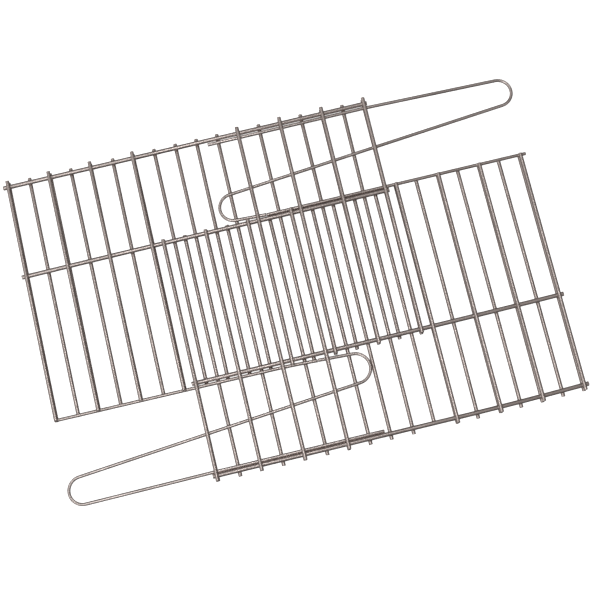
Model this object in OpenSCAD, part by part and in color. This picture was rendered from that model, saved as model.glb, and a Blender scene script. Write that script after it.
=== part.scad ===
// Grill grate in two halves that lock into each other. Each half is a welded wire grid with a
// long wire loop as its handle. Both halves are the same part, one turned half a turn.
// The frame has +X along the rods, +Y across them and +Z up. The origin is the centre of the
// resting face, which is also the axis that carries one half onto the other.

/* [Grid] */
// Distance between neighbouring cross wires of one half
wire_pitch = 20; // [17:0.5:26]
// Distance between the outer rod and the slide rod of one half
outer_bay = 85.6; // [70:0.1:110]
// Distance between the slide rods of the two halves when the grate is widest
slide_spacing = 133.4; // [90:0.1:170]
// How far the cross wires stand out past the outer rod, from its centre
wire_overhang = 5.4; // [3:0.1:10]

/* [Wire] */
// Diameter of the cross wires
cross_d = 3.5; // [3:0.1:3.8]
// Diameter of the edge rods and the handles
wire_d = 3; // [2.5:0.1:3.4]
// Diameter of the outer rods and the slide rods
rod_d = 4; // [3.6:0.1:4.4]
// Running gap beside a slide rod, where the edge rod of the other half stops against it
side_gap = 0.3; // [0.2:0.1:0.8]

/* [Handle] */
// How far the handle reaches past the last cross wire, to the outside of its loop
handle_reach = 137; // [90:1:180]
// Bend radius of the end loop of the handle, at the centre of the wire
loop_r = 12.5; // [10:0.5:14]
// Angle between the diagonal leg of the handle and the rods
diagonal_angle = 5; // [4.2:0.1:5.2]
// Angle by which the outer leg of the handle turns in past the grid
tuck_angle = 0.6; // [0.5:0.1:1.6]

/* [Hidden] */
wire_count = 18;
// The cross wires that have a second wire above the rods
upper_at = [1, 3, 5, 7, 12, 14, 16, 18];
// The last cross wire that the edge rod reaches, and the first one that the handle crosses
edge_last = 13;
handle_first = 11;
// The last cross wire under the tail of the handle
tail_last = 12;

// Gap between wires that cross, which the weld beads of the same half fill
weld_gap = 0.15;
weld_d = 2.2;
// Chamfer of a sheared wire end
shear = 0.3;
rod_stub = 4;
// A straight run of a bent wire stops this far short of its bend, inside the mark that the bending
// jaws leave there, which joins them
run_gap = 0.05;
jaw_mark_d = wire_d + 0.06;
jaw_mark_length = 0.8;

// Heights of the wire centres
lower_z = cross_d / 2;
rod_z = cross_d + weld_gap + rod_d / 2;
thin_z = cross_d + weld_gap + wire_d / 2;
upper_z = cross_d + 2 * weld_gap + rod_d + cross_d / 2;

// Centres of the rods of the left half
outer_y = slide_spacing / 2 + outer_bay;
slide_y = slide_spacing / 2;
edge_y = -slide_spacing / 2 - (rod_d + wire_d) / 2 - side_gap;

// Cross wires: the first ones of both halves lie as far from the centre, half a pitch apart
first_x = -11.75 * wire_pitch;
function wire_x(i) = first_x + (i - 1) * wire_pitch;
wire_top = outer_y + wire_overhang;
wire_bottom = edge_y - wire_d / 2;
wire_length = wire_top - wire_bottom;

// Ends of the rods
rod_left = wire_x(1) - rod_stub;
rod_right = wire_x(wire_count) + rod_stub;
edge_left = wire_x(1) - cross_d / 2;
edge_right = wire_x(edge_last) + cross_d / 2;

// Outer leg of the handle, welded along the inner side of the outer rod
leg_y = outer_y - (rod_d + wire_d) / 2 - weld_gap;
leg_start = wire_x(handle_first) - 0.6 * wire_pitch;
tuck_x = wire_x(wire_count) + wire_d;
// Where the end loop starts
loop_x = wire_x(wire_count) + handle_reach - wire_d / 2 - loop_r;
tuck_length = (loop_x - tuck_x) / cos(tuck_angle);
loop_turn = 180 - tuck_angle - diagonal_angle;

// Start of the diagonal leg, found by walking round the end loop
loop_in = [tuck_x, leg_y] + tuck_length * heading(-tuck_angle);
loop_out = turned(loop_in, -tuck_angle, -loop_turn, loop_r);
diagonal_end_x = wire_x(handle_first) - 0.125 * wire_pitch;
diagonal_length = (loop_out[0] - diagonal_end_x) / cos(diagonal_angle);
diagonal_end = loop_out - diagonal_length * heading(diagonal_angle);

// Tail of the handle, which ends beside the slide rod, just short of the other half's edge rod
tail_angle = 3;
tail_gap = 0.8;
tail_end_x = -edge_right - 0.5;
tail_end_y = slide_y + (rod_d + wire_d) / 2 + tail_gap;
// Radius of the inner loop that brings the diagonal leg onto the line of the tail
inner_r = (diagonal_end[1] - (tail_end_x - diagonal_end[0]) * tan(tail_angle) - tail_end_y)
    / (cos(diagonal_angle) + cos(tail_angle)
        - (sin(diagonal_angle) - sin(tail_angle)) * tan(tail_angle));
inner_turn = 180 - diagonal_angle - tail_angle;
tail_start = turned(diagonal_end, 180 + diagonal_angle, inner_turn, inner_r);
tail_length = (tail_end_x - tail_start[0]) / cos(tail_angle);

function heading(a) = [cos(a), sin(a)];
// Left normal of a heading
function left_of(a) = [-sin(a), cos(a)];
// Where a bend of some angle and radius ends, from a point and a heading (left turns are positive)
function turned(p, a, turn, r) =
    p + sign(turn) * r * left_of(a) - sign(turn) * r * left_of(a + turn);
function diagonal_y(x) = diagonal_end[1] + (x - diagonal_end[0]) * tan(diagonal_angle);
function tail_y(x) = tail_start[1] - (x - tail_start[0]) * tan(tail_angle);

function two_digits(i) = i < 10 ? str("0", i) : str(i);

SIDES = ["left", "right"];

$fn = 48;

// A straight piece of drawn wire along +X from the origin, with its sheared ends broken
module wire_bar(length, d) {
    rotate([0, 90, 0])
        rotate_extrude()
            polygon([
                [0, 0], [d / 2 - shear, 0], [d / 2, shear],
                [d / 2, length - shear], [d / 2 - shear, length], [0, length]
            ]);
}

// A plain length of wire inside a bent one
module plain_run(length) {
    translate([run_gap, 0, 0])
        rotate([0, 90, 0])
            cylinder(h = length - 2 * run_gap, d = wire_d);
}

// A straight run whose far end is a sheared end
module end_run(length) {
    rotate([0, 90, 0])
        rotate_extrude()
            polygon([
                [0, run_gap], [wire_d / 2, run_gap], [wire_d / 2, length - shear],
                [wire_d / 2 - shear, length], [0, length]
            ]);
}

// A bend that starts at the origin heading +X (left turns are positive)
module bend(turn, r) {
    translate([0, sign(turn) * r, 0])
        rotate([0, 0, turn < 0 ? 90 + turn : -90])
            rotate_extrude(angle = abs(turn))
                translate([r, 0])
                    circle(d = wire_d);
}

// Joins two runs, or a run and a bend
module jaw_mark() {
    rotate([0, 90, 0])
        cylinder(h = jaw_mark_length, d = jaw_mark_d, center = true);
}

module at(p, a) {
    translate([p[0], p[1], thin_z])
        rotate([0, 0, a])
            children();
}

// Moves a piece of the left half onto its side of the grate
module on_side(s) {
    rotate([0, 0, s == "left" ? 0 : 180])
        children();
}

module outer_rod() {
    color([0.58, 0.55, 0.54])
        translate([rod_left, outer_y, rod_z])
            wire_bar(rod_right - rod_left, rod_d);
}

module slide_rod() {
    color([0.58, 0.55, 0.54])
        translate([rod_left, slide_y, rod_z])
            wire_bar(rod_right - rod_left, rod_d);
}

module edge_rod() {
    color([0.60, 0.57, 0.56])
        translate([edge_left, edge_y, thin_z])
            wire_bar(edge_right - edge_left, wire_d);
}

module handle() {
    color([0.62, 0.59, 0.57]) {
        at([tuck_x, leg_y], 180)
            end_run(tuck_x - leg_start);
        at([tuck_x, leg_y], -tuck_angle) {
            jaw_mark();
            plain_run(tuck_length);
        }
        at(loop_in, -tuck_angle) {
            jaw_mark();
            bend(-loop_turn, loop_r);
        }
        at(loop_out, 180 + diagonal_angle) {
            jaw_mark();
            plain_run(diagonal_length);
        }
        at(diagonal_end, 180 + diagonal_angle) {
            jaw_mark();
            bend(inner_turn, inner_r);
        }
        at(tail_start, -tail_angle) {
            jaw_mark();
            end_run(tail_length);
        }
    }
}

// The weld bead on a cross wire at x, between it and a rod of diameter d that passes at a height
// z and an angle a: it reaches the rod's surface and stops there
module bead(x, y, wire_z, z, d, a) {
    difference() {
        translate([x, y, min(wire_z, z)])
            cylinder(h = abs(z - wire_z), d = weld_d);
        translate([x, y, z])
            rotate([0, 0, a])
                rotate([0, 90, 0])
                    cylinder(h = 3 * wire_d, d = d, center = true);
    }
}

// A cross wire with its beads on the rods and on the diagonal leg of the handle
module cross_wire(i, wire_z) {
    x = wire_x(i);
    translate([x, wire_bottom, wire_z])
        rotate([0, 0, 90])
            wire_bar(wire_length, cross_d);
    bead(x, outer_y, wire_z, rod_z, rod_d, 0);
    bead(x, slide_y, wire_z, rod_z, rod_d, 0);
    if (i <= edge_last)
        bead(x, edge_y, wire_z, thin_z, wire_d, 0);
    if (i >= handle_first)
        bead(x, diagonal_y(x), wire_z, thin_z, wire_d, diagonal_angle);
}

// The lower wires also carry the outer leg and the tail of the handle, which lie too close to the
// thicker rods for the upper wires to reach them
module lower_wire(i) {
    x = wire_x(i);
    color([0.55, 0.52, 0.51]) {
        cross_wire(i, lower_z);
        if (i >= handle_first)
            bead(x, leg_y, lower_z, thin_z, wire_d, 0);
        if (i >= handle_first && i <= tail_last)
            bead(x, tail_y(x), lower_z, thin_z, wire_d, -tail_angle);
    }
}

module upper_wire(i) {
    color([0.66, 0.63, 0.61])
        cross_wire(i, upper_z);
}

for (s = SIDES) {
    on_side(s) outer_rod();
    on_side(s) slide_rod();
    on_side(s) edge_rod();
    on_side(s) handle();
    for (i = [1:wire_count])
        on_side(s) lower_wire(i);
    for (i = upper_at)
        on_side(s) upper_wire(i);
}
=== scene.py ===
"""Looks of the wire grate. Every wire of the CAD frame is drawn again as one closed swept mesh, with
sheared ends, necks where it is welded to a crossing wire and the small errors of a real wire, in
bright drawn steel."""

import math
import random
from typing import NamedTuple

import bpy
import numpy as np
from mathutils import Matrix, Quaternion, Vector


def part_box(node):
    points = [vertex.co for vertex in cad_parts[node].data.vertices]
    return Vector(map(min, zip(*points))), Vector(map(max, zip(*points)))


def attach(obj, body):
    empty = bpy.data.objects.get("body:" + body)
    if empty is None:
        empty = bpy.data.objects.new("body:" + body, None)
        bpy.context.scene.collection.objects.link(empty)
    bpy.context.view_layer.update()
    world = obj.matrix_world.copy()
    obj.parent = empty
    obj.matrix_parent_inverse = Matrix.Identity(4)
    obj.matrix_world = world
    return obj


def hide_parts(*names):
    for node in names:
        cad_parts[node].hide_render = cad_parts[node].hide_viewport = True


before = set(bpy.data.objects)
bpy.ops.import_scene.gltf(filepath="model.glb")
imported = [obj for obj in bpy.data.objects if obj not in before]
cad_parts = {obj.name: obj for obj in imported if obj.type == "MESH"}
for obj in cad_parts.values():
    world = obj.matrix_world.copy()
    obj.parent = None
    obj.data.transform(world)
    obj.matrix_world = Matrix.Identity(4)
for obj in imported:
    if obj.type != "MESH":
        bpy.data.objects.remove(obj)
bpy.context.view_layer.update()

MM = 0.001
SIDES = ("left", "right")

# How many cross wires a half has, and which of them have a second wire above the rods
WIRES = 18
UPPER_WIRES = (1, 3, 5, 7, 12, 14, 16, 18)
# The last cross wire that the edge rod reaches, the first one that the handle crosses, and the last
# one under the handle's tail
EDGE_LAST = 13
HANDLE_FIRST = 11
TAIL_LAST = 12

# The handle follows the same driving sizes as its CAD solid
# How far its outer leg and its diagonal leg reach past the first cross wire they meet, in pitches
LEG_START = 0.6
DIAGONAL_END = 0.125
# How far past the last cross wire the outer leg turns in
TUCK_PAST = 3 * MM
# Radius of the end loop
LOOP_R = 12.5 * MM
# Angles of the diagonal leg, the outer leg past the grid, and the tail
DIAGONAL = math.radians(5)
TUCK = math.radians(0.6)
TAIL = math.radians(3)
# Gap between the tail and the slide rod, and between the tail's end and the other half's edge rod
TAIL_GAP = 0.8 * MM
TAIL_SHORT = 0.15 * MM
# How far the marks of the bending jaws stand out from the CAD's wire
JAW_MARK = 0.03 * MM
# The two handles aren't bent quite alike: how much further the outer leg turns in, and how far the
# start of that leg, the end loop, the inner loop and the gap beside the tail are from true
BENT = {
    "left": {
        "tuck": math.radians(0.85),
        "start": 2 * MM,
        "loop": 2.5 * MM,
        "inner": 1.2 * MM,
        "gap": -0.3 * MM,
    },
    "right": {
        "tuck": math.radians(-1.0),
        "start": -3 * MM,
        "loop": -3.5 * MM,
        "inner": -2 * MM,
        "gap": 1.5 * MM,
    },
}

# How much further than in the CAD an edge rod stands out past the first cross wire
EDGE_STUB = {"left": 0.0, "right": 3.5 * MM}
# The rods aren't quite straight or parallel: how far each lies to the left of true, how much more so
# at its far end than at its near end, and how far its middle bows to the left
ROD_STRAY = {
    "left_outer_rod": (0.4 * MM, 0.0, 0.0),
    "left_edge_rod": (-0.3 * MM, -1.3 * MM, 0.0),
}
UNSTRAYED = (0.0, 0.0, 0.0)
# Rods bent towards their near end or their far end: how far to the left, and over what stretch
NEAR_BENDS = {
    "left_slide_rod": (-0.8 * MM, 200 * MM),
    "right_outer_rod": (-2.0 * MM, 130 * MM),
    "right_slide_rod": (-1.05 * MM, 210 * MM),
}
FAR_BENDS = {"left_edge_rod": (-1.2 * MM, 42 * MM)}

# How far a cross wire strays at most, in the three ways that a rod does
SHIFT = 0.16 * MM
SKEW = 0.4 * MM
BOW = 0.25 * MM
# Both halves come from one welding jig, and it holds some of the cross wires this far along the rods
# from where they should be
JIG_OFF = {
    1: 1.0 * MM,
    2: 0.9 * MM,
    5: -0.9 * MM,
    7: -0.6 * MM,
    8: -0.4 * MM,
    9: -0.4 * MM,
    11: -0.5 * MM,
    12: -0.5 * MM,
    13: -0.4 * MM,
}
# How much all the cross wires of a half lean, over their length
RACKED = {"left": -1.3 * MM, "right": 0.0}
# How much shorter than in the CAD the cross wires are at their inner ends: those that the edge rod
# reaches, and the free ones past its end
INNER_TRIM = 0.7 * MM
FREE_TRIM = {
    "left": {"lower": 1.1 * MM, "upper": 1.1 * MM},
    "right": {"lower": 1.3 * MM, "upper": 2.4 * MM},
}
# This wire ends under the outer rod, so far short of its neighbours
STOPPED_WIRE = "right_lower_wire_08"
STOPPED_BY = 4.0 * MM

# The bright plating over the drawn wire
PLATING = 0.06 * MM

# The points of a ring round a wire, as angles from the wire's left
AROUND = 24
PHI = np.arange(AROUND) * 2 * math.pi / AROUND
COSINE, SINE = np.cos(PHI), np.sin(PHI)
# The longest step from ring to ring on a straight run and in a bend, and the shortest step anywhere
STRAIGHT_STEP = 7 * MM
BEND_STEP = 1.1 * MM
SHORTEST_STEP = 0.12 * MM
# Distances of a weld's own rings from its middle, and how far the plain rings keep away from it
NECK_RINGS = [d * MM for d in (0.15, 0.4, 0.65, 0.9, 1.15, 1.4, 1.7, 2.1, 2.6)]
NECK_CLEAR = 3.2 * MM
# A sheared end: how far in each ring lies, and its size as a share of the wire's. The cap is the cut
# face. The plain rings keep a little away from the innermost of these rings.
END_RINGS = [
    (1.6 * MM, 1.0),
    (0.9 * MM, 1.0),
    (0.45 * MM, 0.985),
    (0.22 * MM, 0.95),
    (0.09 * MM, 0.89),
    (0.0, 0.8),
]
CAP_RINGS = [(0.02 * MM, 0.55), (0.0, 0.25)]
END_CLEAR = 0.3 * MM
# The slope of a cut lies between these, and shearing squashes a wire wide and low. The depths are how
# far in from the end each of the two still shows.
SLANTS = (0.03, 0.12)
SLANT_DEPTH = 1.2 * MM
SQUASH = 0.05
SQUASH_DEPTH = 1.4 * MM
# Bare metal shows on the cut face and fades out between these depths
BARE_DEPTHS = (0.05 * MM, 0.3 * MM)
# In a bend a wire is narrower by this share, and taller by half as much
BEND_FLAT = 0.035

# The neck of a weld: its half length along the wire, its half width as a share of the wire's radius,
# how the sizes of necks vary, how far one may lean to a side, and how far its halves run into each
# other
NECK_ALONG = 1.15 * MM
NECK_ACROSS = 0.8
NECK_SIZES = (0.85, 1.15)
NECK_LEAN = 0.2 * MM
NECK_BITE = 0.04 * MM
# A neck rises out of the side of its wire between these heights, as shares of the wire's radius, and
# falls from its top to its foot between these distances, as shares of its half size
NECK_SIDES = (0.15, 0.7)
NECK_FOOT = (0.7, 1.75)
# The heat tint of a weld, darkened also as painted shade where the wires touch: its reach along the
# wire, where it is gone, its strength halfway round the wire, and how much stronger it is at the weld
HEAT_AND_SHADE_REACH = 3.4 * MM
HEAT_AND_SHADE_GONE = 4 * HEAT_AND_SHADE_REACH
HEAT_AND_SHADE_MIDDLE = 0.55
HEAT_AND_SHADE_LEAN = 0.45

# Colours of the steel: its lighter and darker streaks as shares of a wire's own colour, its cloudy
# plating, its pits, the two tints of a weld, dark also as painted shade where the wires touch, and bare
# metal
LIGHT_STREAK = 1.14
DARK_STREAK = 0.78
CLOUD = (0.47, 0.42, 0.40, 1.0)
PIT = (0.22, 0.19, 0.18, 1.0)
STRAW_TINT_AND_SHADE = (0.27, 0.20, 0.155, 1.0)
ASH_TINT_AND_SHADE = (0.19, 0.17, 0.175, 1.0)
BARE = (0.36, 0.335, 0.325, 1.0)
# Its patterns: features a metre along the wire and across it
DIE_LINES = (55, 7000, 7000)
STREAKS = (18, 1400, 1400)
CLOUDS = (90, 260, 260)
PITS = (2600, 2600, 2600)
# How far apart in those patterns two wires may start, in metres
PATTERN_SPREAD = 7.0
BUMP_STRENGTH = 0.25
BUMP_HEIGHT = 0.02 * MM

# The floor: half its side, its height just under the grate, its paper and the light through it
FLOOR_HALF = 4.0
FLOOR_Z = -0.2 * MM
PAPER = (0.9, 0.9, 0.9, 1)
PAPER_GLOW = 0.9
WHITE = (1, 1, 1, 1)
# What the steel sees of it: a warm tone, dimmest to its right and brightest to its left
FLOOR_TONE = (1, 0.93, 0.91, 1)
FLOOR_DIMMEST = 0.058
FLOOR_BRIGHTEST = 0.42
# The studio that the steel sees: its colour at and below the horizon, at a height between and overhead
HORIZON = (0.08, 0.074, 0.072, 1)
HALFWAY_UP = 0.55
HALFWAY = (0.27, 0.258, 0.254, 1)
OVERHEAD = (0.42, 0.403, 0.398, 1)

# The camera: its place, the point it looks at, its lens and sensor in millimetres, and how near and
# how far it sees
CAMERA_AT = (-0.03996, -0.27236, 1.36425)
CAMERA_LOOKS_AT = (0.00096, -0.00895, 0.005)
CAMERA_LENS = 92.6
CAMERA_SENSOR = 36
CAMERA_CLIP = (0.05, 20)
# The angle at which the rods rise to the right in the picture
RODS_RISE = math.radians(13.42)


# ---- Centrelines ---------------------------------------------------------------------------------


def heading(a):
    return np.array([math.cos(a), math.sin(a)])


def left_of(a):
    return np.array([-math.sin(a), math.cos(a)])


class Part(NamedTuple):
    """A run or a bend: how far along the line it begins, its length, its first point, and its heading
    and curvature there."""

    begin: float
    length: float
    point: np.ndarray
    angle: float
    curve: float


class Line:
    """A planar centreline of straight runs and bends, walked from its start."""

    def __init__(self, start, angle):
        self.start = np.array(start, float)
        self.point = self.start
        self.angle = angle
        self.length = 0.0
        self.parts = []
        self.marks = {}

    def run(self, length):
        self.parts.append(Part(self.length, length, self.point, self.angle, 0.0))
        self.point = self.point + length * heading(self.angle)
        self.length += length

    def bend(self, turn, radius):
        length = abs(turn) * radius
        side = math.copysign(radius, turn)
        self.parts.append(Part(self.length, length, self.point, self.angle, 1 / side))
        self.point = self.point + side * (left_of(self.angle) - left_of(self.angle + turn))
        self.angle += turn
        self.length += length

    def mark(self, name):
        """Keeps the place reached so far: how far along the line it is, and its point."""
        self.marks[name] = (self.length, self.point)

    def at(self, s):
        """Point, heading angle and curvature at a distance along the line."""
        reached = (part for part in self.parts if s <= part.begin + part.length)
        part = next(reached, self.parts[-1])
        t = s - part.begin
        if part.curve == 0.0:
            return part.point + t * heading(part.angle), part.angle, 0.0
        turned = part.angle + t * part.curve
        return part.point + (left_of(part.angle) - left_of(turned)) / part.curve, turned, part.curve


class Weld(NamedTuple):
    """Where along a wire a weld is, whether it is above (1) or below (-1), how far its neck reaches
    from the centreline, its size and how far it leans to the left."""

    at: float
    up: int
    reach: float
    size: float
    lean: float


class Wire:
    """One wire: its centreline at a height, its radius, its material, and how it strays sideways."""

    def __init__(self, side, part, line, z, radius, slot, stray=UNSTRAYED):
        self.side = side
        self.node = f"{side}_{part}"
        self.name = f"{self.node}_drawn"
        self.line = line
        self.z = z
        self.radius = radius
        self.slot = slot
        self.stray = stray
        self.near_bend = NEAR_BENDS.get(self.node)
        self.far_bend = FAR_BENDS.get(self.node)
        self.welds = []

    def off(self, s):
        """How far the wire lies to the left of its true centreline."""
        shift, skew, bow = self.stray
        t = s / self.line.length
        total = shift + skew * (t - 0.5) + bow * 4 * t * (1 - t)
        for bend, from_end in ((self.near_bend, s), (self.far_bend, self.line.length - s)):
            if bend:
                by, over = bend
                total += by * max(0.0, 1 - from_end / over) ** 2
        return total

    def centre(self, s):
        point, angle, _ = self.line.at(s)
        return point + self.off(s) * left_of(angle)


# ---- The wires of one half, in the half's own frame ----------------------------------------------


def half_box(side, part):
    """A node's box in the frame of its half: the right half is the left one turned by half a turn."""
    low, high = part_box(f"{side}_{part}")
    if side == "right":
        low, high = Vector((-high.x, -high.y, low.z)), Vector((-low.x, -low.y, high.z))
    return low, high


def rod(side, part, slot, stub=0.0):
    low, high = half_box(side, part)
    line = Line((low.x - stub, (low.y + high.y) / 2), 0.0)
    line.run(high.x - low.x + stub)
    z, radius = (low.z + high.z) / 2, (high.y - low.y) / 2
    stray = ROD_STRAY.get(f"{side}_{part}", UNSTRAYED)
    return Wire(side, part, line, z, radius, slot, stray)


def cross_wire(side, level, i, outer, rng):
    """A cross wire, which sticks out as far past the outer rod wherever that rod strays to."""
    part = f"{level}_wire_{i:02d}"
    low, high = half_box(side, part)
    radius = (high.x - low.x) / 2
    z = low.z + radius if level == "lower" else high.z - radius
    trim = INNER_TRIM if i <= EDGE_LAST else FREE_TRIM[side][level]
    x = (low.x + high.x) / 2
    top = high.y + outer.off(x - outer.line.start[0])
    if f"{side}_{part}" == STOPPED_WIRE:
        top -= STOPPED_BY
    line = Line((x, low.y + trim), math.pi / 2)
    line.run(top - low.y - trim)
    skew = RACKED[side] + rng.uniform(-SKEW, SKEW)
    shift = rng.uniform(-SHIFT, SHIFT) - JIG_OFF.get(i, 0.0)
    bow = rng.uniform(-BOW, BOW)
    return Wire(side, part, line, z, radius, f"{level}_wire", (shift, skew, bow))


def handle(side, slide, edge, lowers):
    """The handle, walked from the start of its outer leg round both loops to the end of its tail."""
    low, high = half_box(side, "handle")
    bent = BENT[side]
    tuck = TUCK + bent["tuck"]
    radius = (high.z - low.z) / 2 - JAW_MARK
    pitch = lowers[2].line.start[0] - lowers[1].line.start[0]
    first_x = lowers[HANDLE_FIRST].line.start[0]
    last_x = lowers[WIRES].line.start[0]

    leg_y = high.y - radius - JAW_MARK
    leg_x = first_x - LEG_START * pitch + bent["start"]
    tuck_x = last_x + TUCK_PAST
    loop_x = high.x - radius - LOOP_R + bent["loop"]
    line = Line((leg_x, leg_y), 0.0)
    line.run(tuck_x - leg_x)
    line.angle -= tuck
    line.run((loop_x - tuck_x) / math.cos(tuck))
    line.bend(-(math.pi - tuck - DIAGONAL), LOOP_R)

    diagonal_x = first_x - DIAGONAL_END * pitch + bent["inner"]
    line.mark("diagonal")
    line.run((line.point[0] - diagonal_x) / math.cos(DIAGONAL))

    # The radius of the inner loop is the one that leads onto the line of the tail
    tail_x = -edge.line.point[0] - TAIL_SHORT
    tail_y = slide.line.start[1] + slide.radius + radius + TAIL_GAP + bent["gap"]
    drop = line.point[1] - (tail_x - line.point[0]) * math.tan(TAIL) - tail_y
    slope = (math.sin(DIAGONAL) - math.sin(TAIL)) * math.tan(TAIL)
    line.bend(math.pi - DIAGONAL - TAIL, drop / (math.cos(DIAGONAL) + math.cos(TAIL) - slope))
    line.mark("tail")
    line.run((tail_x - line.point[0]) / math.cos(TAIL))
    return Wire(side, "handle", line, (low.z + high.z) / 2, radius, "handle_wire")


def where(wire, y):
    """How far along a cross wire, and at what x, it passes a height y of its half's plane."""
    s = y - wire.line.start[1]
    return s, wire.centre(s)[0]


def weld(wire, s, other, other_s, rng):
    """Joins two crossing wires with a neck: each reaches the plane halfway between them."""
    below, above = (wire, other) if wire.z < other.z else (other, wire)
    plane = (below.z + below.radius + above.z - above.radius) / 2
    size = rng.uniform(*NECK_SIZES)
    for one, at in ((wire, s), (other, other_s)):
        up = 1 if one is below else -1
        reach = abs(plane - one.z) + NECK_BITE
        one.welds.append(Weld(at, up, reach, size, rng.uniform(-NECK_LEAN, NECK_LEAN)))


def weld_rod(wire, rod, rng):
    start = rod.line.start
    _, x = where(wire, start[1])
    s, x = where(wire, rod.centre(x - start[0])[1])
    weld(wire, s, rod, x - start[0], rng)


def weld_handle(wire, grip, is_lower, i, rng):
    """The diagonal leg is welded to both layers, the outer leg and the tail only to the lower wires."""
    begin, point = grip.line.marks["diagonal"]
    _, x = where(wire, point[1])
    s, x = where(wire, point[1] - (point[0] - x) * math.tan(DIAGONAL))
    weld(wire, s, grip, begin + (point[0] - x) / math.cos(DIAGONAL), rng)
    if not is_lower:
        return
    start = grip.line.start
    s, x = where(wire, start[1])
    weld(wire, s, grip, x - start[0], rng)
    if i <= TAIL_LAST:
        begin, point = grip.line.marks["tail"]
        s, x = where(wire, point[1] - (wire.line.start[0] - point[0]) * math.tan(TAIL))
        weld(wire, s, grip, begin + (x - point[0]) / math.cos(TAIL), rng)


def half(side):
    """All the wires of a half, welded."""
    rng = random.Random(f"{side} half")
    outer = rod(side, "outer_rod", "rod")
    slide = rod(side, "slide_rod", "rod")
    edge = rod(side, "edge_rod", "edge_rod", EDGE_STUB[side])
    lowers = {i: cross_wire(side, "lower", i, outer, rng) for i in range(1, WIRES + 1)}
    uppers = {i: cross_wire(side, "upper", i, outer, rng) for i in UPPER_WIRES}
    grip = handle(side, slide, edge, lowers)
    for level in (lowers, uppers):
        for i, wire in level.items():
            weld_rod(wire, outer, rng)
            weld_rod(wire, slide, rng)
            if i <= EDGE_LAST:
                weld_rod(wire, edge, rng)
            if i >= HANDLE_FIRST:
                weld_handle(wire, grip, level is lowers, i, rng)
    return [outer, slide, edge, grip, *lowers.values(), *uppers.values()]


# ---- Meshes --------------------------------------------------------------------------------------


def smoothstep(low, high, x):
    t = np.clip((x - low) / (high - low), 0, 1)
    return t * t * (3 - 2 * t)


def ring_places(wire):
    """Distances along a wire of its rings, without the ends: close together at bends and welds."""
    places = []
    for part in wire.line.parts:
        step = BEND_STEP if part.curve else STRAIGHT_STEP
        count = max(1, math.ceil(part.length / step))
        places += [part.begin + part.length * k / count for k in range(count + 1)]
    welds = [weld.at for weld in wire.welds]
    places = [s for s in places if all(abs(s - at) > NECK_CLEAR for at in welds)]
    places += [at + side * d for at in welds for d in NECK_RINGS for side in (-1, 1)]
    first = END_RINGS[0][0]
    last = wire.line.length - first
    kept = []
    for s in sorted(s for s in places if first + END_CLEAR < s < last - END_CLEAR):
        if not kept or s - kept[-1] > SHORTEST_STEP:
            kept.append(s)
    return kept


def rings_of(wire):
    """Distance along and size of each ring, from the middle of one cut face to that of the other."""
    end = END_RINGS + CAP_RINGS
    body = [(s, 1.0) for s in ring_places(wire)]
    return end[::-1] + body + [(wire.line.length - d, size) for d, size in end]


def ring(wire, s, size, slants):
    """One ring of a wire: its points, and the pattern place, weld tint and painted shade, and bareness
    of each.
    """
    r = wire.radius + PLATING
    near_start = s < wire.line.length / 2
    depth = s if near_start else wire.line.length - s
    slant, turn = slants[0] if near_start else slants[1]
    # The side of a slanted cut that lies further in pulls its points with it
    pull = slant * r * (1 + np.cos(PHI - turn)) * (1 - smoothstep(0, SLANT_DEPTH, depth))
    along = s + (pull if near_start else -pull)
    _, angle, curve = wire.line.at(s)
    flat = BEND_FLAT if curve else 0.0
    squash = SQUASH * (1 - smoothstep(0, SQUASH_DEPTH, depth))
    left = r * size * COSINE * (1 - flat + squash)
    up = r * size * SINE * (1 + flat * 0.5 - squash)
    up, heat = pull_necks(wire, s, along, left, up)
    offset = (along - s)[:, None] * heading(angle)[None, :] + left[:, None] * left_of(angle)[None, :]
    points = np.column_stack([wire.centre(s)[None, :] + offset, wire.z + up])
    grain = np.column_stack([along, r * COSINE, r * SINE])
    bare = np.full(AROUND, 1.0 - smoothstep(*BARE_DEPTHS, depth))
    return points, grain, heat, bare


def pull_necks(wire, s, along, left, up):
    """Pulls a ring's points out into the necks of the welds near it. Returns their heights and their
    weld tint and painted shade.
    """
    r = wire.radius + PLATING
    heat = np.zeros(AROUND)
    for weld in wire.welds:
        if abs(s - weld.at) > HEAT_AND_SHADE_GONE:
            continue
        a = along - weld.at
        across = (left - weld.lean) / (NECK_ACROSS * r * weld.size)
        rho = np.sqrt((a / (NECK_ALONG * weld.size)) ** 2 + across**2)
        lift = (1 - smoothstep(*NECK_FOOT, rho)) * smoothstep(*NECK_SIDES, weld.up * SINE)
        up = up + lift * (weld.up * weld.reach - up)
        # The weld's heat tint, also painted shade where the wires touch: strongest on the side towards
        # the weld
        tint_and_shade = np.exp(-((a / HEAT_AND_SHADE_REACH) ** 2)) * (HEAT_AND_SHADE_MIDDLE + HEAT_AND_SHADE_LEAN * weld.up * SINE)
        heat = np.maximum(heat, tint_and_shade)
    return up, heat


def tube_faces(rings):
    """Quads from ring to ring, and a fan to the middle of each cut face."""
    n = AROUND
    last = (rings - 1) * n
    faces = []
    for k in range(0, last, n):
        for j in range(n):
            faces.append((k + j, k + (j + 1) % n, k + n + (j + 1) % n, k + n + j))
    for j in range(n):
        faces.append((rings * n, (j + 1) % n, j))
        faces.append((rings * n + 1, last + j, last + (j + 1) % n))
    return faces


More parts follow.
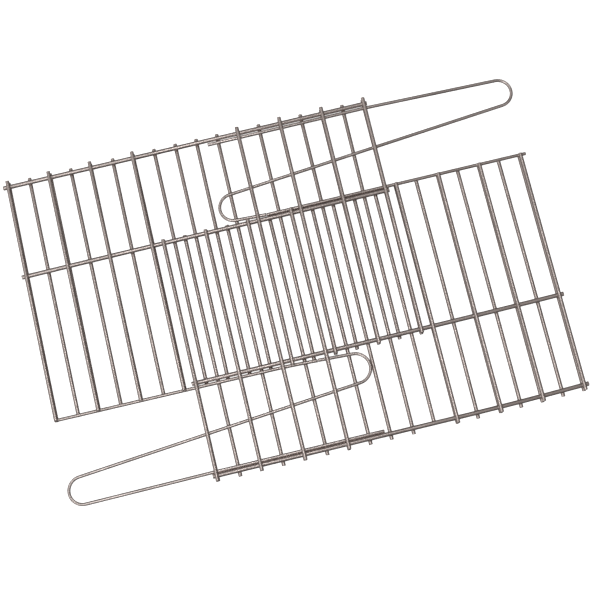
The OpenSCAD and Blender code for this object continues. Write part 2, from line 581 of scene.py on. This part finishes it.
def build(wire):
    rng = random.Random(wire.name)
    slants = [(rng.uniform(*SLANTS), rng.uniform(0, 2 * math.pi)) for _ in range(2)]
    tone = rng.random()
    rings = [ring(wire, s, size, slants) for s, size in rings_of(wire)]
    points, grain, heat, bare = (list(values) for values in zip(*rings))
    middles = np.array([points[0].mean(axis=0), points[-1].mean(axis=0)])
    verts = np.concatenate(points + [middles])
    if wire.side == "right":
        verts[:, :2] *= -1
    mesh = bpy.data.meshes.new(wire.name)
    mesh.from_pydata(verts.tolist(), [], tube_faces(len(rings)))
    mesh.shade_smooth()
    layers = {
        "grain": ("FLOAT_VECTOR", "vector", np.concatenate(grain + [np.zeros((2, 3))])),
        # The weld tint, which is also painted shade where the wires touch
        "heat": ("FLOAT", "value", np.concatenate(heat + [np.zeros(2)])),
        "cut": ("FLOAT", "value", np.concatenate(bare + [np.ones(2)])),
        "tone": ("FLOAT", "value", np.full(len(verts), tone)),
    }
    for name, (kind, field, values) in layers.items():
        layer = mesh.attributes.new(name, kind, "POINT")
        layer.data.foreach_set(field, values.astype(np.float32).ravel())
    mark_rims(mesh, len(rings))
    piece = bpy.data.objects.new(wire.name, mesh)
    bpy.context.scene.collection.objects.link(piece)
    return piece


def mark_rims(mesh, rings):
    """The edge between a wire's side and its cut face is sharp."""
    rim = len(CAP_RINGS)
    rims = {rim, rings - 1 - rim}
    for edge in mesh.edges:
        first, second = (v // AROUND for v in edge.vertices)
        if first == second and first in rims:
            edge.use_edge_sharp = True


# ---- Drawn steel ---------------------------------------------------------------------------------


class Nodes:
    """Short names for building a node tree."""

    def __init__(self, owner):
        owner.use_nodes = True
        self.tree = owner.node_tree
        self.tree.nodes.clear()

    def new(self, kind, **values):
        node = self.tree.nodes.new(kind)
        for name, value in values.items():
            setattr(node, name, value)
        return node

    def link(self, source, target):
        self.tree.links.new(source, target)

    def attribute(self, name, output="Fac"):
        return self.new("ShaderNodeAttribute", attribute_name=name).outputs[output]

    def set(self, socket, value):
        if hasattr(value, "is_output"):
            self.link(value, socket)
        else:
            socket.default_value = value

    def math(self, operation, a, b=0.0, clamp=False):
        node = self.new("ShaderNodeMath", operation=operation, use_clamp=clamp)
        self.set(node.inputs[0], a)
        self.set(node.inputs[1], b)
        return node.outputs[0]

    def remap(self, value, low, high, to_low, to_high):
        node = self.new("ShaderNodeMapRange", interpolation_type="SMOOTHSTEP")
        names = ("Value", "From Min", "From Max", "To Min", "To Max")
        for name, setting in zip(names, (value, low, high, to_low, to_high)):
            self.set(node.inputs[name], setting)
        return node.outputs["Result"]

    def mix(self, factor, a, b):
        node = self.new("ShaderNodeMix", data_type="RGBA", clamp_factor=True)
        for socket, value in ((node.inputs[0], factor), (node.inputs[6], a), (node.inputs[7], b)):
            self.set(socket, value)
        return node.outputs[2]

    def noise(self, vector, scale, detail, rough=0.5):
        """Noise over a vector in metres, at so many features a metre along and across the wire."""
        stretch = self.new("ShaderNodeMapping")
        stretch.inputs["Scale"].default_value = scale
        self.link(vector, stretch.inputs["Vector"])
        node = self.new("ShaderNodeTexNoise")
        node.inputs["Scale"].default_value = 1.0
        node.inputs["Detail"].default_value = detail
        node.inputs["Roughness"].default_value = rough
        self.link(stretch.outputs["Vector"], node.inputs["Vector"])
        return node.outputs["Fac"]

    def mix_shader(self, factor, a, b):
        node = self.new("ShaderNodeMixShader")
        for socket, value in zip(node.inputs, (factor, a, b)):
            self.link(value, socket)
        return node.outputs[0]

    def emission(self, colour, strength):
        node = self.new("ShaderNodeEmission")
        node.inputs["Color"].default_value = colour
        self.set(node.inputs["Strength"], strength)
        return node.outputs[0]


class Patterns:
    """The patterns of drawn steel at a point of a wire, each from 0 to 1."""

    def __init__(self, t):
        self.tone = t.attribute("tone")
        # The weld tint, also painted shade where the wires touch
        self.heat = t.attribute("heat")
        self.cut = t.attribute("cut")
        # Each wire reads its own part of the noise
        offset = t.new("ShaderNodeCombineXYZ")
        t.link(t.math("MULTIPLY", self.tone, PATTERN_SPREAD), offset.inputs["X"])
        place = t.new("ShaderNodeVectorMath", operation="ADD")
        t.link(t.attribute("grain", "Vector"), place.inputs[0])
        t.link(offset.outputs[0], place.inputs[1])
        spot = place.outputs[0]
        self.lines = t.noise(spot, DIE_LINES, detail=3.0, rough=0.6)
        self.streaks = t.noise(spot, STREAKS, detail=2.0)
        self.clouds = t.noise(spot, CLOUDS, detail=3.0)
        self.pits = t.noise(spot, PITS, detail=1.0)


def steel_colour(t, on, colour):
    """Streaks, clouds of plating, wires darker than others, pits, tinted welds with painted shade where
    the wires touch, and bare cut faces.
    """
    light = tuple(min(1.0, c * LIGHT_STREAK) for c in colour) + (1.0,)
    dark = tuple(c * DARK_STREAK for c in colour) + (1.0,)
    base = t.mix(t.remap(on.streaks, 0.3, 0.7, 0.0, 1.0), dark, light)
    base = t.mix(t.remap(on.clouds, 0.35, 0.75, 0.0, 0.35), base, CLOUD)
    base = t.mix(t.remap(on.tone, 0.0, 1.0, 0.0, 0.22), base, dark)
    base = t.mix(t.remap(on.pits, 0.66, 0.74, 0.0, 0.45), base, PIT)
    # The weld tint is darkened also as painted shade where the wires touch
    tint_and_shade = t.mix(t.remap(on.clouds, 0.3, 0.7, 0.0, 1.0), STRAW_TINT_AND_SHADE, ASH_TINT_AND_SHADE)
    uneven = t.remap(on.streaks, 0.2, 0.8, 0.7, 1.0)
    tint_and_shade_amount = t.math("MULTIPLY", t.remap(on.heat, 0.25, 1.0, 0.0, 0.8), uneven)
    base = t.mix(tint_and_shade_amount, base, tint_and_shade)
    return t.mix(on.cut, base, BARE)


def steel_roughness(t, on, roughness):
    """Rougher along the die lines and in the clouds, at welds, and most of all on cut faces."""
    rough = t.math("ADD", roughness, t.remap(on.lines, 0.3, 0.7, -0.05, 0.07))
    rough = t.math("ADD", rough, t.remap(on.clouds, 0.35, 0.75, -0.03, 0.08))
    rough = t.math("ADD", rough, t.remap(on.heat, 0.3, 1.0, 0.0, 0.16))
    return t.math("ADD", rough, t.math("MULTIPLY", on.cut, 0.3), clamp=True)


def steel_bump(t, on):
    """Die lines and streaks stand out along the wire, and pits lie in it."""
    height = t.math("ADD", t.math("MULTIPLY", on.lines, 0.6), t.math("MULTIPLY", on.streaks, 0.5))
    height = t.math("SUBTRACT", height, t.remap(on.pits, 0.62, 0.74, 0.0, 0.8))
    bump = t.new("ShaderNodeBump")
    bump.inputs["Strength"].default_value = BUMP_STRENGTH
    bump.inputs["Distance"].default_value = BUMP_HEIGHT
    t.link(height, bump.inputs["Height"])
    return bump.outputs["Normal"]


def drawn_steel(name, colour, roughness):
    """Bright drawn and plated wire."""
    material = bpy.data.materials.new(name)
    t = Nodes(material)
    on = Patterns(t)
    surface = t.new("ShaderNodeBsdfPrincipled")
    surface.inputs["Metallic"].default_value = 1.0
    t.link(steel_colour(t, on, colour), surface.inputs["Base Color"])
    t.link(steel_roughness(t, on, roughness), surface.inputs["Roughness"])
    t.link(steel_bump(t, on), surface.inputs["Normal"])
    out = t.new("ShaderNodeOutputMaterial")
    t.link(surface.outputs[0], out.inputs["Surface"])
    return material


# Each kind of wire has its own colour and roughness
STEEL = {
    "rod": drawn_steel("rod_steel", (0.57, 0.50, 0.472), 0.28),
    "edge_rod": drawn_steel("edge_rod_steel", (0.57, 0.50, 0.472), 0.26),
    "handle_wire": drawn_steel("handle_steel", (0.59, 0.525, 0.50), 0.26),
    "lower_wire": drawn_steel("lower_wire_steel", (0.56, 0.49, 0.462), 0.24),
    "upper_wire": drawn_steel("upper_wire_steel", (0.58, 0.508, 0.48), 0.23),
}

for side in SIDES:
    for wire in half(side):
        piece = build(wire)
        piece.data.materials.append(STEEL[wire.slot])
        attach(piece, f"{side}_grid")
        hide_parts(wire.node)


# ---- Floor, light and camera ---------------------------------------------------------------------


def floor():
    """A pale light table, clear from below, which the steel sees dimmer than the camera does."""
    mesh = bpy.data.meshes.new("floor")
    signs = ((-1, -1), (1, -1), (1, 1), (-1, 1))
    corners = [(x * FLOOR_HALF, y * FLOOR_HALF, FLOOR_Z) for x, y in signs]
    mesh.from_pydata(corners, [], [(0, 1, 2, 3)])
    material = bpy.data.materials.new("floor")
    t = Nodes(material)
    paper = t.new("ShaderNodeBsdfDiffuse")
    paper.inputs["Color"].default_value = PAPER
    lit = t.new("ShaderNodeAddShader")
    t.link(paper.outputs[0], lit.inputs[0])
    t.link(t.emission(WHITE, PAPER_GLOW), lit.inputs[1])
    geometry = t.new("ShaderNodeNewGeometry")
    towards = t.new("ShaderNodeSeparateXYZ")
    t.link(geometry.outputs["Incoming"], towards.inputs[0])
    strength = t.remap(towards.outputs["X"], 0.1, 0.9, FLOOR_DIMMEST, FLOOR_BRIGHTEST)
    path = t.new("ShaderNodeLightPath")
    dim = t.emission(FLOOR_TONE, strength)
    seen = t.mix_shader(path.outputs["Is Glossy Ray"], lit.outputs[0], dim)
    clear = t.new("ShaderNodeBsdfTransparent")
    out = t.new("ShaderNodeOutputMaterial")
    both = t.mix_shader(geometry.outputs["Backfacing"], seen, clear.outputs[0])
    t.link(both, out.inputs["Surface"])
    mesh.materials.append(material)
    plane = bpy.data.objects.new("floor", mesh)
    bpy.context.scene.collection.objects.link(plane)


def dome():
    """White to the camera. The steel sees a studio that is bright overhead and dark round the sides."""
    world = bpy.data.worlds.new("studio")
    bpy.context.scene.world = world
    t = Nodes(world)
    direction = t.new("ShaderNodeTexCoord")
    split = t.new("ShaderNodeSeparateXYZ")
    t.link(direction.outputs["Generated"], split.inputs[0])
    ramp = t.new("ShaderNodeValToRGB")
    stops = ramp.color_ramp.elements
    stops[0].color = HORIZON
    stops[1].color = OVERHEAD
    stops.new(HALFWAY_UP).color = HALFWAY
    t.link(split.outputs["Z"], ramp.inputs["Fac"])
    studio = t.new("ShaderNodeBackground")
    t.link(ramp.outputs["Color"], studio.inputs["Color"])
    white = t.new("ShaderNodeBackground")
    white.inputs["Color"].default_value = WHITE
    path = t.new("ShaderNodeLightPath")
    out = t.new("ShaderNodeOutputWorld")
    both = t.mix_shader(path.outputs["Is Camera Ray"], studio.outputs[0], white.outputs[0])
    t.link(both, out.inputs["Surface"])


def softbox(name, at, size, power, aim=(0, 0, 0)):
    """A rectangular lamp: its place, its width and height in metres, its power, and its aim."""
    light = bpy.data.lights.new(name, "AREA")
    light.shape = "RECTANGLE"
    light.size, light.size_y = size
    light.energy = power
    lamp = bpy.data.objects.new(name, light)
    lamp.location = at
    lamp.rotation_mode = "QUATERNION"
    lamp.rotation_quaternion = (Vector(aim) - Vector(at)).to_track_quat("-Z", "Y")
    bpy.context.scene.collection.objects.link(lamp)


def lamps():
    softbox("left_panel", (-0.75, 0.05, 1.4), (1.1, 1.8), 2.4)
    softbox("low_left", (-1.6, 0, 0.42), (1.6, 0.6), 0.95)
    softbox("low_front", (-0.8, -1.6, 0.6), (1.0, 0.8), 0.75)
    softbox("key", (-0.62, 0.85, 1.35), (0.9, 0.7), 0.6)
    softbox("overhead", (-0.38, -0.38, 1.45), (0.42, 0.42), 1.9)
    # A strip over the middle draws a thin bright line along the cross wires there
    softbox("strip", (-0.05, 0.12, 1.45), (0.13, 0.5), 1.3, aim=(-0.05, 0, 0))
    # Four low panels in the corners light the wires for views from the side
    for x in (-1.5, 1.5):
        for y in (-1.5, 1.5):
            softbox("corner", (x, y, 0.85), (1.3, 0.8), 3.2)


def camera():
    data = bpy.data.cameras.new("camera")
    data.lens = CAMERA_LENS
    data.sensor_width = CAMERA_SENSOR
    data.clip_start, data.clip_end = CAMERA_CLIP
    lens = bpy.data.objects.new("camera", data)
    lens.location = CAMERA_AT
    look = Vector(CAMERA_LOOKS_AT) - Vector(CAMERA_AT)
    level = look.to_track_quat("-Z", "Y")
    # Roll about the line of sight until the rods rise to the right as they should
    rods = level.inverted() @ Vector((1, 0, 0))
    roll = math.atan2(rods.y, rods.x) - RODS_RISE
    lens.rotation_mode = "QUATERNION"
    lens.rotation_quaternion = level @ Quaternion((0, 0, 1), roll)
    bpy.context.scene.collection.objects.link(lens)
    bpy.context.scene.camera = lens


floor()
dome()
lamps()
camera()
bpy.context.scene.view_settings.view_transform = "Standard"
